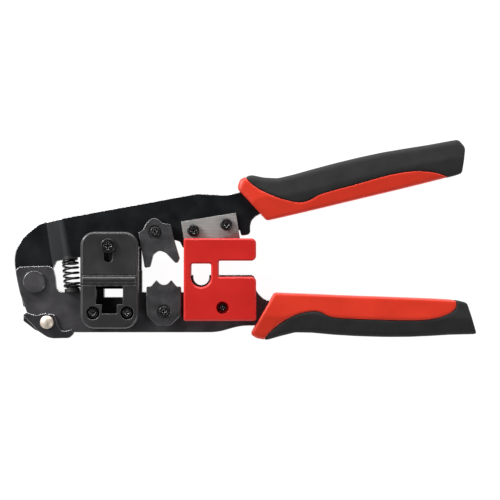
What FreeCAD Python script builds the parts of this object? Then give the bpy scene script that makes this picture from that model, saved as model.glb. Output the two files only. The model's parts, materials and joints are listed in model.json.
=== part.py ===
import FreeCAD, Part
import os
from math import atan2, cos, hypot, pi, radians, sin, tan

# Modular-plug crimping tool, drawn in millimetres and lying flat on its back.
# The pivot axis is Z through the origin. +X runs from the pivot towards the handles, +Y from the lower
# lever to the upper one, +Z up towards the working face. The lower lever is drawn where it stays. The
# upper lever is drawn closed on it and then opened about the pivot by `opening`.

V = FreeCAD.Vector

# ---------------------------------------------------------------- driving dimensions
opening = 9.0            # degrees between the closed tool and the open rest pose
latch_swing = 16.0       # degrees from the latch's rest to its locked place

plate = 3.5              # thickness of both stamped levers
grip_thickness = 15.0    # both grips, also the height of the resting tool's handles
grip_round = 2.3
running = 0.05           # radial clearance of a pin or blade that turns or slides
sliding = 0.15           # clearance of a lever that slides between two shells
free_gap = 0.3           # clearance of pieces that only pass each other

mid = grip_thickness / 2            # middle plane of the grips and of both levers
arm_back = mid - plate / 2
arm_front = mid + plate / 2
joggle = plate + running            # how far the upper lever is set back at the pivot
shell_front = arm_front + sliding   # back face of the shells in front of the levers
shell_back = arm_back - sliding     # front face of the shells behind the levers
shell_top = 14.9                    # working face of the housing and the guard

# pivot
pivot_r = 3.0
rivet_head_r = 5.2
rivet_head = 1.3
washer_r = 5.5
washer_t = 0.75
rivet_back_head = arm_back - joggle - running - washer_t

# lower lever
arm_bottom = -22.6       # its long lower edge
window_edge = -4.4       # its upper edge beside the spring and the housing
platform_top = 3.2       # raised edge under the blade
platform_x = (67.6, 98.9)
neck_r = 8.3
lower_tang = (-14.2, 5.0, 184.0)    # middle Y, half width and end X inside the grip

# upper lever, closed
spine_y = 27.0           # its long upper edge
jaw_y = 8.0              # its long lower edge
ramp_x = (9.0, 16.4)     # start and end of the joggle
upper_tang = (22.6, 4.6, 188.0)

# plug crimper
housing_x = (21.05, 47.0)
housing_y = (-20.6, 22.6)
housing_r = 6.4
housing_flange = 1.3     # how far the spacer stands out beside the dies
back_flange = 0.8        # and how far the back shell does
housing_round = 1.5
plug_w = 12.1            # 8-position plug
plug_h = 8.1
plug_top = -1.75
plug_x = 34.1            # middle of the plug opening
tab_w = 6.9
tab_depth = 4.1
nest_wall = 1.1
back_window = (8.6, 4.8)
back_window_drop = 0.4   # below the top of the plug opening
back_window_shift = 1.0   # towards the dies
plunger_roof = 2.4       # wall of the front shell over the plunger
housing_recess = 2.2     # depth of its screws' recesses
pin_x = 33.6             # drive pin of the plunger
pin_open_y = 16.3
pin_r = 1.8
pin_head_r = 3.3
plunger_w = 12.0
plunger_reach = 2.4      # lowest point of the plunger's teeth at rest
contacts = 8
contact_pitch = 1.02
housing_screw_x = (26.8, 42.0)
housing_screw_y = -13.6

# screws
screw_r = 1.5
screw_head_r = 2.3
recess_r = 3.0
nut_across = 5.4

# terminal dies
die_thickness = 3.0
lower_die_x = (50.3, 66.0)
lower_die_screw = (58.2, -13.0)
upper_die_screw = (57.2, 13.7)
die_gap = 0.25           # left between the dies when the tool is closed

# cutter
blade_x = (69.3, 94.2)
blade_y = (-2.1, 16.5)
blade_thickness = 1.0
blade_back = arm_front + running
strip_x = 81.2           # where the cutting edge ends and the stripping edge starts
strip_y = 4.3
blade_screw_at = ((74.1, 11.7), (89.1, 12.1))
blade_screw_head_r = 2.75
cable_x = 74.85          # middle of the round cable notch
cable_r = 3.5
cable_sink = 1.05        # its middle below the platform
guard_x = (67.2, 99.5)
guard_y = (-17.2, 19.6)
guard_r = 2.3
guard_wall = 1.3
guard_face = 2.0
guard_screw = (84.5, -11.3)
guard_recess = 3.0       # depth of its recess
guard_back_t = 2.6       # room for the back half behind the lever
guard_nut_t = 1.4
strip_slot_x = 82.7
strip_slot_y = (2.5, 9.6)
cable_window_r = 4.55
cable_window_top = 8.3

# spring
spring_r = 3.85          # outside
spring_wire = 1.1
spring_turns = 5
spring_drop = 2.2        # its upper end sits this much further back than its lower one
spring_low = (16.9, -3.1, mid + spring_drop / 2)
spring_high = (15.7, 9.8, mid - spring_drop / 2)
seat_pin_r = spring_r - spring_wire - 0.55
seat_pin = 1.8
seat_lap = 1.3           # how far the upper seat reaches over its lever

# latch
latch_x = 5.7
latch_y = -18.0
latch_pin_r = 1.8
latch_sheet = 1.2
latch_gap = 0.15
tooth_x = (-3.4, -2.5)   # catch tooth on the tail of the upper lever, open
tooth_y = -12.4


# ---------------------------------------------------------------- helpers
def rounded_wire(corners, z=0.0):
    """Closed wire at height z through (x, y) or (x, y, radius) corners, each radius a tangent arc."""
    points = [(c[0], c[1], c[2] if len(c) > 2 else 0.0) for c in corners]
    count = len(points)
    ends = []
    for i, (x, y, radius) in enumerate(points):
        before = points[i - 1]
        after = points[(i + 1) % count]
        in_len = hypot(before[0] - x, before[1] - y)
        out_len = hypot(after[0] - x, after[1] - y)
        a = ((before[0] - x) / in_len, (before[1] - y) / in_len)
        b = ((after[0] - x) / out_len, (after[1] - y) / out_len)
        bend = pi - abs(atan2(a[0] * b[1] - a[1] * b[0], a[0] * b[0] + a[1] * b[1]))
        back = radius * tan(bend / 2)
        if back < 1e-6:
            ends.append((V(x, y, z),))
            continue
        start = V(x + a[0] * back, y + a[1] * back, z)
        end = V(x + b[0] * back, y + b[1] * back, z)
        to_middle = hypot(a[0] + b[0], a[1] + b[1])
        depth = hypot(back, radius) - radius
        middle = V(x + (a[0] + b[0]) / to_middle * depth, y + (a[1] + b[1]) / to_middle * depth, z)
        ends.append((start, middle, end))
    edges = []
    for i, corner in enumerate(ends):
        if len(corner) == 3:
            edges.append(Part.Arc(*corner).toShape())
        following = ends[(i + 1) % count][0]
        if corner[-1].distanceToPoint(following) > 1e-5:
            edges.append(Part.LineSegment(corner[-1], following).toShape())
    return Part.Wire(edges)


def sheet(corners, low, high):
    """Flat piece with a rounded outline between two heights."""
    return Part.Face(rounded_wire(corners, low)).extrude(V(0, 0, high - low))


def block(x, y, z):
    """Box from (low, high) pairs."""
    return Part.makeBox(x[1] - x[0], y[1] - y[0], z[1] - z[0], V(x[0], y[0], z[0]))


def disc(at, radius, low, high):
    """Round bar along Z."""
    return Part.makeCylinder(radius, high - low, V(at[0], at[1], low))


def obround(a, b, radius, low, high):
    """Slot-shaped bar along Z from point a to point b."""
    length = hypot(b[0] - a[0], b[1] - a[1])
    side = (-(b[1] - a[1]) / length * radius, (b[0] - a[0]) / length * radius)
    ring = [(a[0] + side[0], a[1] + side[1]), (b[0] + side[0], b[1] + side[1]),
            (b[0] - side[0], b[1] - side[1]), (a[0] - side[0], a[1] - side[1])]
    bar = sheet(ring, low, high)
    return bar.fuse([disc(a, radius, low, high), disc(b, radius, low, high)]).removeSplitter()


def opened(shape):
    """Turn a piece of the upper lever from its closed place to its rest place."""
    turned = shape.copy()
    turned.rotate(V(0, 0, 0), V(0, 0, 1), opening)
    return turned


def turn_point(point, angle):
    """Point turned about the pivot by an angle in degrees."""
    a = radians(angle)
    return (point[0] * cos(a) - point[1] * sin(a), point[0] * sin(a) + point[1] * cos(a))


def edges_at(shape, height):
    """Edges that lie wholly at one height."""
    found = []
    for edge in shape.Edges:
        box = edge.BoundBox
        if abs(box.ZMin - height) < 1e-4 and abs(box.ZMax - height) < 1e-4:
            found.append(edge)
    return found


def machine_screw(at, head_r, seat, crown, shank_r, tip):
    """Cross-recessed pan-head screw along Z, head from `seat` up to `crown`."""
    rim = crown - (crown - seat) * 0.45
    head = disc(at, head_r, seat, crown)
    head = head.makeFillet(crown - rim, edges_at(head, crown))
    cross_w = head_r * 0.26
    cross_l = head_r * 1.05
    depth = (crown - seat) * 0.6
    low = crown - depth
    bars = block((at[0] - cross_l / 2, at[0] + cross_l / 2), (at[1] - cross_w / 2, at[1] + cross_w / 2),
                 (low, crown + 1))
    bars = bars.fuse(block((at[0] - cross_w / 2, at[0] + cross_w / 2),
                           (at[1] - cross_l / 2, at[1] + cross_l / 2), (low, crown + 1)))
    shank = disc(at, shank_r, tip, seat)
    return head.cut(bars).fuse(shank).removeSplitter()


def hex_bar(at, across, low, high):
    """Hexagonal bar along Z."""
    r = across / 2 / cos(pi / 6)
    ring = [(at[0] + r * cos(pi / 3 * i), at[1] + r * sin(pi / 3 * i)) for i in range(6)]
    return sheet(ring, low, high)


def hex_nut(at, across, low, high, bore_r):
    """Hexagonal nut along Z."""
    return hex_bar(at, across, low, high).cut(disc(at, bore_r, low - 1, high + 1))


def save(name, shape):
    """Write one node."""
    shape.exportStep("parts/" + name + ".step")


# ---------------------------------------------------------------- drive pin path
pin_open = (pin_x, pin_open_y)
pin_in_lever = turn_point(pin_open, -opening)           # its place on the lever, drawn closed
pin_closed = (pin_x, pin_in_lever[1])                   # the housing's slot keeps its X
plunger_travel = pin_open_y - pin_closed[1]


# ---------------------------------------------------------------- levers
def lower_arm():
    """Fixed stamped plate."""
    tang_y, tang_half, tang_end = lower_tang
    neck_y = platform_top - 11.3
    outline = [
        (-9.0, 6.8, 2.5), (8.0, 7.3, 3.0), (9.3, 2.0, 12), (9.8, window_edge, 2.6),
        (platform_x[0], window_edge, 0.8), (platform_x[0], platform_top, 0.8),
        (platform_x[1], platform_top, 1.6), (platform_x[1], neck_y, neck_r),
        (118, tang_y + tang_half, 12), (tang_end, tang_y + tang_half - 1.5, 3),
        (tang_end, tang_y - tang_half + 0.5, 3), (118, tang_y - tang_half, 20),
        (92.5, -19.65, 25), (82, arm_bottom, 25),
        (latch_x - 4.2, arm_bottom, 4.2), (latch_x - 4.2, -15.9, 0.8), (-3.2, -14.4, 0.8),
        (-6.9, -4.0, 25),
    ]
    arm = sheet(outline, arm_back, arm_front)
    low, high = arm_back - 1, arm_front + 1
    cuts = [disc((0, 0), pivot_r, low, high), disc((latch_x, latch_y), latch_pin_r, low, high)]
    notch_y = platform_top - cable_sink
    cuts.append(disc((cable_x, notch_y), cable_r, low, high))
    cuts.append(block((cable_x - cable_r, cable_x + cable_r), (notch_y, platform_top + 1), (low, high)))
    cuts.append(nest_outline(0.0, low, high))
    for x in housing_screw_x:
        cuts.append(disc((x, housing_screw_y), screw_r, low, high))
    cuts.append(disc(lower_die_screw, screw_r, low, high))
    cuts.append(disc(guard_screw, screw_r, low, high))
    return arm.cut(cuts)


def nest_outline(inset, low, high):
    """T-shaped seat of the plug nest, drawn in by `inset`."""
    wide = plug_w / 2 + nest_wall - inset
    narrow = tab_w / 2 + nest_wall - inset
    floor = plug_top - plug_h - nest_wall + inset
    tab_floor = plug_top - plug_h - tab_depth - nest_wall + inset
    top = window_edge + 1
    ring = [(plug_x - wide, top), (plug_x - wide, floor), (plug_x - narrow, floor),
            (plug_x - narrow, tab_floor), (plug_x + narrow, tab_floor), (plug_x + narrow, floor),
            (plug_x + wide, floor), (plug_x + wide, top)]
    return sheet(ring, low, high)


def plug_opening(low, high):
    """The plug's own T shape."""
    body = block((plug_x - plug_w / 2, plug_x + plug_w / 2), (plug_top - plug_h, plug_top), (low, high))
    tab = block((plug_x - tab_w / 2, plug_x + tab_w / 2),
                (plug_top - plug_h - tab_depth, plug_top), (low, high))
    return body.fuse(tab).removeSplitter()


def upper_arm():
    """Moving stamped plate, drawn closed."""
    tang_y, tang_half, tang_end = upper_tang
    tooth = [turn_point((x, tooth_y), -opening) for x in tooth_x]
    root = [turn_point((x, tooth_y + 1.1), -opening) for x in tooth_x]
    outline = [
        (-8.3, 9.0, 8), (-7.3, 14.8, 10), (-2.3, 20.9, 10), (5.8, 25.8, 12),
        (18.0, spine_y - 0.65, 40), (78.5, spine_y + 0.8, 12), (91.5, 25.0, 8),
        (118, tang_y + tang_half, 12), (tang_end, tang_y + tang_half, 3),
        (tang_end, tang_y - tang_half, 3), (118, tang_y - tang_half, 12), (108, 15.4, 8),
        (100.0, 12.6, 6.0), (99.1, 6.0, 1.6), (94.9, 6.0, 1.0), (94.6, jaw_y + 0.7, 0.5),
        (70.3, jaw_y + 0.7, 0.4), (70.3, 4.7, 0.8), (68.2, 4.7, 0.9), (67.3, 7.6, 0.8),
        (65.4, jaw_y + 0.6, 1.0), (48.0, jaw_y, 30), (10.7, jaw_y - 0.3, 1.6), (8.2, 4.0, 3),
        (8.4, -5.5, 7), (1.0, -9.8, 3), root[1], tooth[1], tooth[0], root[0],
        (-7.3, -10.3, 0.8), (-7.6, -4.0, 20),
    ]
    low, high = arm_back - joggle, arm_front
    blank = sheet(outline, low - 1, high + 1)
    run = [(-40, low), (ramp_x[0], low), (ramp_x[1], arm_back), (260, arm_back),
           (260, arm_front), (ramp_x[1], arm_front), (ramp_x[0], low + plate), (-40, low + plate)]
    profile = Part.makePolygon([V(x, -60, z) for x, z in run + run[:1]])
    arm = blank.common(Part.Face(profile).extrude(V(0, 160, 0)))
    cuts = [disc((0, 0), pivot_r + running, low - 1, high + 1)]
    cuts.append(obround(pin_in_lever, pin_closed, pin_r + sliding, low - 1, high + 1))
    cuts.append(disc(upper_die_screw, screw_r, low - 1, high + 1))
    for at in blade_screw_at:
        cuts.append(disc(at, screw_r, low - 1, high + 1))
    cuts.append(obround((112, tang_y), (114, tang_y), 1.5, low, high + 1))
    return arm.cut(cuts)


def pivot():
    """Rivet through both levers, and the washer behind them."""
    low = arm_back - joggle
    top = arm_front + rivet_head
    head = disc((0, 0), rivet_head_r, arm_front, top)
    head = head.makeChamfer(0.45, edges_at(head, top))
    shank = disc((0, 0), pivot_r, rivet_back_head, arm_front)
    back = disc((0, 0), rivet_head_r - 0.4, 0, rivet_back_head)
    rivet = head.fuse([shank, back]).removeSplitter()
    washer_top = low - running
    washer = disc((0, 0), washer_r, rivet_back_head, washer_top)
    washer = washer.cut(disc((0, 0), pivot_r, 0, washer_top + 1))
    return rivet, washer


# ---------------------------------------------------------------- plug crimper
def housing_outline(low, high, wider=0.0):
    """Outline shared by both housing shells, with its side by the dies moved out by `wider`."""
    x, y = (housing_x[0], housing_x[1] + wider), housing_y
    return sheet([(x[0], y[0], housing_r), (x[1], y[0], housing_r),
                  (x[1], y[1], housing_r), (x[0], y[1], housing_r)], low, high)


def plunger_space(low, high, extra=0.0):
    """Room that the plunger takes between its rest and closed places."""
    half = plunger_w / 2 + sliding + extra
    return block((plug_x - half, plug_x + half), (plug_top - 1.4, pin_open_y + 3.6 + extra), (low, high))


def die_housing():
    """Front and back shells about the two levers."""
    front = housing_outline(shell_front, shell_top)
    rim = edges_at(front, shell_top)
    front = front.makeFillet(housing_round, rim)
    seat_y = (housing_y[0] + housing_r, jaw_y - 2.6)
    spacer = block((housing_x[0], housing_x[1] + housing_flange), (window_edge, seat_y[1]),
                   (arm_back, shell_front))
    foot = housing_outline(arm_front, shell_front).common(
        block((0, 60), (housing_y[0] - 1, window_edge), (0, 20)))
    front = front.fuse([spacer, foot])
    cuts = [plug_opening(0, shell_top + 1), plunger_space(arm_back - 1, shell_top - plunger_roof)]
    cuts.append(obround(pin_open, pin_closed, pin_r + sliding, 0, shell_top + 1))
    groove = 0.5
    for y in (3.3, -1.15):
        cuts.append(block((housing_x[0] + 0.6, housing_x[1] - 0.6), (y - groove / 2, y + groove / 2),
                          (shell_top - 0.45, shell_top + 1)))
    for x in housing_screw_x:
        cuts.append(disc((x, housing_screw_y), recess_r, shell_top - housing_recess, shell_top + 1))
        cuts.append(disc((x, housing_screw_y), screw_r, 0, shell_top))
    front = front.cut(cuts)
    bead_x = (housing_x[0] + 1.2, housing_x[1] - 1.2)
    bead = Part.makeCylinder(1.6, bead_x[1] - bead_x[0], V(bead_x[0], 1.1, shell_top - 1.05), V(1, 0, 0))
    bead = bead.common(block((0, 60), (-20, 20), (shell_top - 0.6, shell_top + 2)))
    front = front.fuse(bead).removeSplitter()

    back = housing_outline(0, shell_back, back_flange)
    back = back.makeFillet(housing_round, edges_at(back, 0))
    boss = housing_outline(shell_back, arm_back).common(
        block((0, 60), (housing_y[0] - 1, seat_y[1]), (0, 20)))
    back = back.fuse(boss)
    window_w, window_h = back_window
    window_x = plug_x + back_window_shift
    window_top = plug_top - back_window_drop
    cuts = [block((window_x - window_w / 2, window_x + window_w / 2),
                  (window_top - window_h, window_top), (-1, arm_back + 1)),
            obround(pin_open, pin_closed, 3.4, arm_back - 2.6, arm_back + 1)]
    for x in housing_screw_x:
        cuts.append(disc((x, housing_screw_y), screw_r, -1, arm_back + 1))
        cuts.append(hex_bar((x, housing_screw_y), nut_across + 0.2, -1, 2.4))
    back = back.cut(cuts).removeSplitter()
    return front, back


def plug_nest():
    """Insert with the plug's shape that fills the lower lever's cut-out."""
    nest = nest_outline(0.0, arm_back, arm_front)
    nest = nest.common(block((0, 60), (-40, window_edge), (0, 20)))
    return nest.cut(plug_opening(0, 20))


def plunger_parts():
    """Plunger, its contact teeth and strain-relief bar, drive pin and nut, at rest."""
    top_z = shell_top - plunger_roof - sliding
    half = plunger_w / 2
    heel_y = plunger_reach + 2.0
    slide = block((plug_x - half, plug_x + half), (heel_y, pin_open_y + 3.3), (shell_front, top_z))
    heel = block((plug_x - half, plug_x + half), (heel_y, heel_y + 4.2), (arm_back + sliding, shell_front))
    plunger = slide.fuse(heel).removeSplitter()
    pitch_w = contacts * contact_pitch
    comb_z = (arm_back + sliding, arm_front)
    comb = block((plug_x - pitch_w / 2, plug_x + pitch_w / 2), (heel_y - 1.1, heel_y), comb_z)
    teeth = [comb]
    for i in range(contacts):
        x = plug_x + (i - (contacts - 1) / 2) * contact_pitch
        teeth.append(block((x - 0.25, x + 0.25), (plunger_reach, heel_y - 1.0), comb_z))
    comb = comb.fuse(teeth[1:]).removeSplitter()
    bar = sheet([(plug_x - 4.5, heel_y), (plug_x - 3.5, plunger_reach + 0.5),
                 (plug_x + 3.5, plunger_reach + 0.5), (plug_x + 4.5, heel_y)], shell_front + 0.8, top_z - 0.3)
    plunger = plunger.cut(disc(pin_open, pin_r, 0, 20))
    nut_z = (arm_back - 2.3, arm_back - 2 * sliding)
    head_z = shell_top + running
    screw = machine_screw(pin_open, pin_head_r, head_z, head_z + 1.5, pin_r, nut_z[0])
    nut = hex_nut(pin_open, nut_across, nut_z[0], nut_z[1], pin_r)
    return plunger, comb, bar, screw, nut


# ---------------------------------------------------------------- terminal dies
def upper_crimp_die():
    """Moving die with two legs and an arched mouth, drawn closed."""
    foot = -2.0 + die_gap
    outline = [
        (49.7, 14.5, 0.6), (51.8, 15.3, 1.5), (54.3, 18.6, 2.0), (58.0, 20.6, 2.6), (61.0, 17.1, 2.0),
        (64.6, 15.9, 0.6), (64.9, 10.0, 5), (66.2, foot + 2.0, 1.2), (65.0, foot + 0.2, 0.8),
        (63.9, foot + 0.4, 1.0), (60.5, 3.6, 2.0), (57.7, 5.3, 2.4), (54.8, 3.7, 2.4),
        (52.6, foot + 0.3, 0.9), (50.0, foot + 0.2, 0.9), (50.0, 4.0, 6),
    ]
    low, high = arm_front, arm_front + die_thickness
    die = sheet(outline, low, high)
    die = die.cut(disc(upper_die_screw, screw_r, low - 1, high + 1))
    return die.cut(disc(upper_die_screw, recess_r, high - 0.5, high + 1))


def lower_crimp_die():
    """Fixed die with two points and a valley between them."""
    x0, x1 = lower_die_x
    shoulder = -2.0
    outline = [
        (x0 + 0.4, -14.9, 0.8), (x0, -6.0, 2), (x0 + 0.2, shoulder, 0.6), (x0 + 2.2, shoulder + 0.2, 0.8),
        (x0 + 4.5, 1.0, 0.4), (x0 + 7.85, -2.5, 3.0), (x0 + 11.2, 1.0, 0.4),
        (x1 - 2.2, shoulder + 0.2, 0.8), (x1 - 0.1, shoulder, 0.6), (x1, -6.0, 2), (x1 - 0.2, -14.9, 0.8),
        (lower_die_screw[0] + 5.4, -17.0, 2.5), (lower_die_screw[0] + 3.2, -19.3, 2.5),
        (lower_die_screw[0] - 3.2, -19.3, 2.5), (lower_die_screw[0] - 5.4, -17.0, 2.5),
    ]
    low, high = arm_front, arm_front + die_thickness
    die = sheet(outline, low, high)
    die = die.cut(disc(lower_die_screw, screw_r, low - 1, high + 1))
    return die.cut(disc(lower_die_screw, recess_r, high - 0.5, high + 1))


# ---------------------------------------------------------------- cutter
def cutter_blade():
    """Blade with a long cutting edge and a short stripping edge, drawn closed."""
    outline = [(blade_x[0], blade_y[0]), (strip_x, blade_y[0]), (strip_x, strip_y),
               (blade_x[1], strip_y), (blade_x[1], blade_y[1]), (blade_x[0], blade_y[1])]
    low, high = blade_back, blade_back + blade_thickness
    blade = sheet(outline, low, high)
    bevel = 1.6
    for x, edge_y in (((blade_x[0] - 1, strip_x + 0.01), blade_y[0]), ((strip_x, blade_x[1] + 1), strip_y)):
        wedge = Part.makePolygon([V(x[0], edge_y - 1, high + 1), V(x[0], edge_y - 1, low + 0.1),
                                  V(x[0], edge_y, low + 0.1), V(x[0], edge_y + bevel, high),
                                  V(x[0], edge_y + bevel, high + 1), V(x[0], edge_y - 1, high + 1)])
        blade = blade.cut(Part.Face(wedge).extrude(V(x[1] - x[0], 0, 0)))
    for at in blade_screw_at:
        blade = blade.cut(disc(at, screw_r, low - 1, high + 1))
    return blade


def guard_outline(low, high):
    """Outline shared by both halves of the guard, with its strip slot."""
    x, y = guard_x, guard_y
    s = strip_slot_y
    ring = [(x[0], y[0], 1.0), (x[1], y[0], 1.2), (x[1], s[0], guard_r), (strip_slot_x, s[0], 0.4),
            (strip_slot_x, s[1], 0.8), (x[1], s[1], guard_r), (x[1], y[1], guard_r), (x[0], y[1], 1.0)]
    return sheet(ring, low, high)


def cable_window(low, high):
    """Round-bottomed opening that the cable goes through."""
    centre_y = strip_slot_y[0] - 0.1
    r = cable_window_r
    top = sheet([(cable_x - r, centre_y), (cable_x + r, centre_y),
                 (cable_x + r, cable_window_top, 0.9), (cable_x - r, cable_window_top, 0.9)], low, high)
    return top.fuse(disc((cable_x, centre_y), r, low, high)).removeSplitter()


def guard():
    """Front and back halves of the guard about the blade."""
    clear_y = blade_y[0] - 0.4
    front = guard_outline(shell_front, shell_top)
    front = front.cut(cable_window(0, 20))
    front = front.makeChamfer(0.7, edges_at(front, shell_top))
    foot = guard_outline(arm_front, shell_front).common(
        block((0, 120), (guard_y[0] - 1, clear_y), (0, 20)))
    front = front.fuse(foot)
    inner_x = (guard_x[0] + guard_wall, guard_x[1] - guard_wall - 0.6)
    pocket = block(inner_x, (clear_y, guard_y[1] + 1), (arm_front - 1, shell_top - guard_face))
    blade_pass = block((guard_x[0] - 1, inner_x[0] + 0.1), (blade_y[0] + 7.0, guard_y[1] + 1),
                       (arm_front - 1, blade_back + blade_thickness + free_gap))
    front = front.cut([pocket, blade_pass, disc(guard_screw, 2.8, shell_top - guard_recess, shell_top + 1),
                       disc(guard_screw, screw_r, 0, 20)])
    back_low = arm_back - guard_back_t
    back = guard_outline(back_low, shell_back).cut(cable_window(0, 20))
    boss = guard_outline(shell_back, arm_back).common(
        block((0, 120), (guard_y[0] - 1, clear_y), (0, 20)))
    back = back.fuse(boss)
    nut_seat = hex_bar(guard_screw, nut_across + 0.2, 0, back_low + guard_nut_t)
    back = back.cut([disc(guard_screw, screw_r, 0, 20), nut_seat])
    return front.removeSplitter(), back.removeSplitter()


# ---------------------------------------------------------------- spring and latch
def spring_frame(shape):
    """Place a piece drawn along +Z from the origin on the spring's axis."""
    axis = V(*spring_high) - V(*spring_low)
    placed = shape.copy()
    placed.Placement = FreeCAD.Placement(V(*spring_low), FreeCAD.Rotation(V(0, 0, 1), axis)) * shape.Placement
    return placed


def return_spring():
    """Round-wire compression spring between its two seats."""
    length = (V(*spring_high) - V(*spring_low)).Length
    r = spring_r - spring_wire / 2
    rise = length - spring_wire - 2 * sliding
    helix = Part.makeHelix(rise / spring_turns, rise, r)
    section = Part.Wire(Part.makeCircle(spring_wire / 2, V(r, 0, 0), V(0, 1, 0)))
    coil = Part.Wire(helix.Edges).makePipeShell([section], True, True)
    coil.translate(V(0, 0, spring_wire / 2 + sliding))
    return spring_frame(coil)


def spring_seats():
    """Cup and pin on each lever that the spring stands on."""
    low_pad = spring_frame(Part.makeCylinder(spring_r - 0.4, 2.4, V(0, 0, -2.4)))
    low_pin = spring_frame(Part.makeCylinder(seat_pin_r, seat_pin))
    keep_low = block((0, 40), (window_edge, 20), (0, 20))
    lower = low_pad.fuse(low_pin).common(keep_low).removeSplitter()
    length = (V(*spring_high) - V(*spring_low)).Length
    high_pad = spring_frame(Part.makeCylinder(spring_r - 0.4, seat_lap, V(0, 0, length)))
    high_pin = spring_frame(Part.makeCylinder(seat_pin_r, seat_pin, V(0, 0, length - seat_pin)))
    upper = high_pad.fuse(high_pin).removeSplitter()
    upper = upper.cut(opened(upper_arm()))
    solids = sorted(upper.Solids, key=lambda s: s.Volume)
    return lower, solids[-1]


def latch():
    """Folded sheet latch about the corner of the lower lever, its rivet and washer."""
    front = (arm_front + latch_gap, arm_front + latch_gap + latch_sheet)
    back = (arm_back - latch_gap - latch_sheet, arm_back - latch_gap)
    face = [
        (-5.1, -14.7, 0.5), (-3.4, -13.6, 0.8), (0.8, -15.0, 3), (4.6, -13.9, 3), (9.4, -14.6, 1.2),
        (10.4, -18.8, 2.5), (12.3, -22.2, 2.5), (16.8, -21.3, 0.5), (18.2, -22.9, 0.8),
        (15.8, -25.1, 2.5), (6.8, -25.3, 8), (1.6, -21.8, 6), (-0.3, -19.6, 6),
    ]
    cheek = sheet(face, front[0], front[1])
    # The catch is drawn locked, between the tooth's open and closed places, and turned back.
    closed_edge = turn_point((tooth_x[1], tooth_y), -opening)[0]
    tip_x = (closed_edge + tooth_x[0]) / 2
    tip = 0.25
    hook = [(tip_x - tip, tooth_y + 0.8), (tip_x + tip, tooth_y + 0.8), (tip_x + tip, tooth_y - 0.2),
            (0.5, tooth_y - 0.9, 2), (7.0, -14.2, 3), (latch_x + 4.3, latch_y - 2, 4),
            (latch_x + 2.0, -24.0, 2.5), (-0.6, -20.6, 5), (tip_x - 1.2, tooth_y - 2.0, 0.5)]
    catch = sheet(hook, back[0], back[1])
    catch.rotate(V(latch_x, latch_y, 0), V(0, 0, 1), latch_swing)
    outer = disc((latch_x, latch_y), 6.1, back[0], front[1])
    inner = disc((latch_x, latch_y), 6.1 - latch_sheet, 0, 20)
    sector = sheet([(latch_x, latch_y), (latch_x - 12, latch_y - 3.6), (latch_x - 4, latch_y - 12),
                    (latch_x + 3.5, latch_y - 12)], 0, 20)
    web = outer.cut(inner).common(sector)
    web = web.common(block((-20, 40), (-40, arm_bottom - 0.3), (0, 20)).fuse(
        block((-20, latch_x - 3.8), (-40, 0), (0, 20))))
    web = web.common(sheet(face, 0, 20))
    body = cheek.fuse([catch, web]).removeSplitter()
    body = body.cut(disc((latch_x, latch_y), latch_pin_r + running, 0, 20))
    head_top = front[1] + 1.5
    dome = Part.makeSphere(3.9, V(latch_x, latch_y, head_top - 3.9))
    head = disc((latch_x, latch_y), 3.0, front[1] + running, head_top).common(dome)
    shank = disc((latch_x, latch_y), latch_pin_r, back[0] - 1.4, front[1] + running)
    rivet = head.fuse(shank).removeSplitter()
    washer = disc((latch_x, latch_y), 3.2, back[0] - 1.0, back[0] - running)
    washer = washer.cut(disc((latch_x, latch_y), latch_pin_r, 0, 20))
    return body, rivet, washer


# ---------------------------------------------------------------- grips
upper_grip_outline = [
    (96.4, 27.4, 3.0), (98.4, 31.0, 3.0), (103.5, 32.2, 5), (113.5, 28.3, 16), (158.5, 32.75, 60),
    (197.4, 33.3, 2.8), (199.9, 28.9, 3.5), (196.9, 17.9, 2.8), (107.2, 10.85, 2.8),
]
upper_parting = [(100.2, 33.0), (103.2, 27.6), (107.8, 23.8), (113.2, 20.4), (119.0, 17.8), (123.2, 16.7),
                 (127.5, 16.9), (131.0, 18.4), (137.0, 19.3), (152.0, 20.8), (166.0, 22.6), (176.0, 22.5),
                 (184.5, 20.7), (192.0, 16.5)]
lower_grip_outline = [
    (107.6, -4.75, 2.6), (189.5, -8.0, 12), (194.2, -8.7, 3.0), (198.2, -23.2, 2.6), (185.0, -23.2, 60),
    (164.0, -24.5, 100), (140.0, -23.85, 60), (116.6, -21.65, 28), (104.2, -25.8, 5), (96.9, -23.9, 2.6),
]
lower_parting = [(101.6, -27.0), (104.0, -24.0), (107.8, -20.1), (112.4, -16.9), (116.4, -14.8),
                 (120.0, -13.7), (124.8, -13.0), (128.3, -13.4), (130.8, -14.9), (134.5, -16.0),
                 (150.0, -16.5), (173.0, -17.1), (181.0, -15.8), (187.0, -13.2), (189.0, -10.6),
                 (187.6, -6.0)]


def grip(outline, parting, far_side, tang):
    """Split a rounded grip along its parting line into a core and an outer overlay."""
    whole = sheet(outline, 0, grip_thickness)
    whole = whole.makeFillet(grip_round, edges_at(whole, 0) + edges_at(whole, grip_thickness))
    line = Part.BSplineCurve()
    line.interpolate([V(x, y, -1) for x, y in parting])
    first, last = parting[0], parting[-1]
    loop = [V(last[0], last[1], -1), V(last[0] + 30, last[1], -1), V(last[0] + 30, far_side, -1),
            V(first[0] - 30, far_side, -1), V(first[0] - 30, first[1], -1), V(first[0], first[1], -1)]
    edges = [line.toShape()]
    edges += [Part.LineSegment(loop[i], loop[i + 1]).toShape() for i in range(len(loop) - 1)]
    outside = Part.Face(Part.Wire(edges)).extrude(V(0, 0, grip_thickness + 2))
    overlay = whole.common(outside)
    core = whole.cut(outside)
    return core.cut(tang), overlay.cut(tang)


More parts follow.
